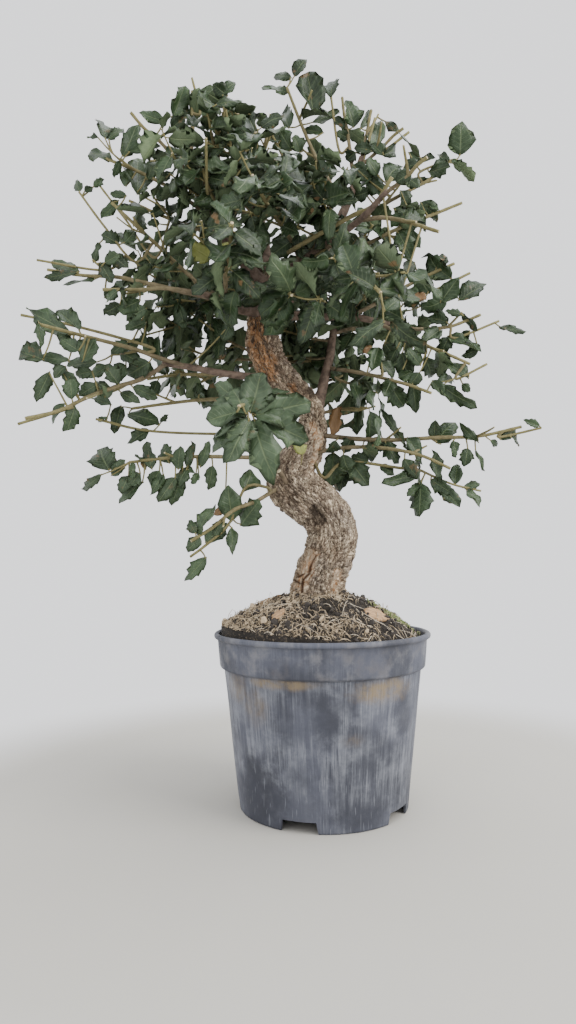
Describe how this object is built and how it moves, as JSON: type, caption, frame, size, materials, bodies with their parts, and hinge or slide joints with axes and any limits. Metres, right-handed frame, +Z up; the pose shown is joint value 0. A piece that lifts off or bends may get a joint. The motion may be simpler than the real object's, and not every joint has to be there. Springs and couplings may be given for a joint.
{
  "type": "bonsai tree",
  "caption": "Small cork oak bonsai with a bent corky trunk and a wide airy crown of toothed evergreen leaves, in a round tapered nursery pot.",
  "frame": {"origin": "on the ground, in the middle of the pot's base", "axes": "+Z up, +X to the right and -Y towards the viewer of the front"},
  "size_m": [0.4424, 0.3776, 0.6724],
  "materials": {
    "pot_plastic": "worn matt, chalky",
    "potting_mix": "rough peat, bark and dry moss",
    "cork_bark": "fissured cork bark",
    "loose_bark": "dry bark",
    "foliage": "leathery leaves, satin above and pale beneath"
  },
  "bodies": {
    "root": {"pot": "pot_plastic", "soil": "potting_mix", "trunk": "cork_bark", "bark_flake_right": "loose_bark", "bark_flake_left": "loose_bark", "bark_flake_front": "loose_bark", "branch_left_long": "foliage", "branch_left_upper": "foliage", "branch_left_mid": "foliage", "branch_left_third": "foliage", "branch_left_low": "foliage", "branch_left_hang": "foliage", "branch_front_cluster": "foliage", "branch_right_low": "foliage", "branch_right_lowest": "foliage", "branch_right_mid": "foliage", "branch_right_out": "foliage", "branch_right_up_a": "foliage", "branch_right_up_b": "foliage", "branch_right_top": "foliage", "branch_right_front": "foliage", "branch_right_under": "foliage", "branch_right_sprig": "foliage", "branch_right_back": "foliage", "branch_top_a": "foliage", "branch_top_b": "foliage", "branch_top_c": "foliage", "branch_top_d": "foliage", "branch_top_e": "foliage", "branch_top_f": "foliage", "branch_top_left_a": "foliage", "branch_top_left_b": "foliage", "branch_top_left_c": "foliage", "branch_top_left_d": "foliage", "branch_left_high_a": "foliage", "branch_left_high_b": "foliage", "branch_left_high_c": "foliage", "branch_left_side": "foliage", "branch_front_top": "foliage", "branch_front_mid": "foliage", "branch_front_low": "foliage", "branch_front_right_tip": "foliage", "branch_front_right_b": "foliage", "branch_inner_left": "foliage", "branch_inner_front": "foliage", "branch_inner_top": "foliage", "branch_inner_right": "foliage", "branch_right_inner": "foliage", "branch_back_left_a": "foliage", "branch_back_left_b": "foliage", "branch_back_left_c": "foliage", "branch_back_right_a": "foliage", "branch_back_right_b": "foliage", "branch_back_right_c": "foliage", "branch_back_low_a": "foliage", "branch_back_low_b": "foliage", "branch_back_top": "foliage"}
  },
  "joints": []
}
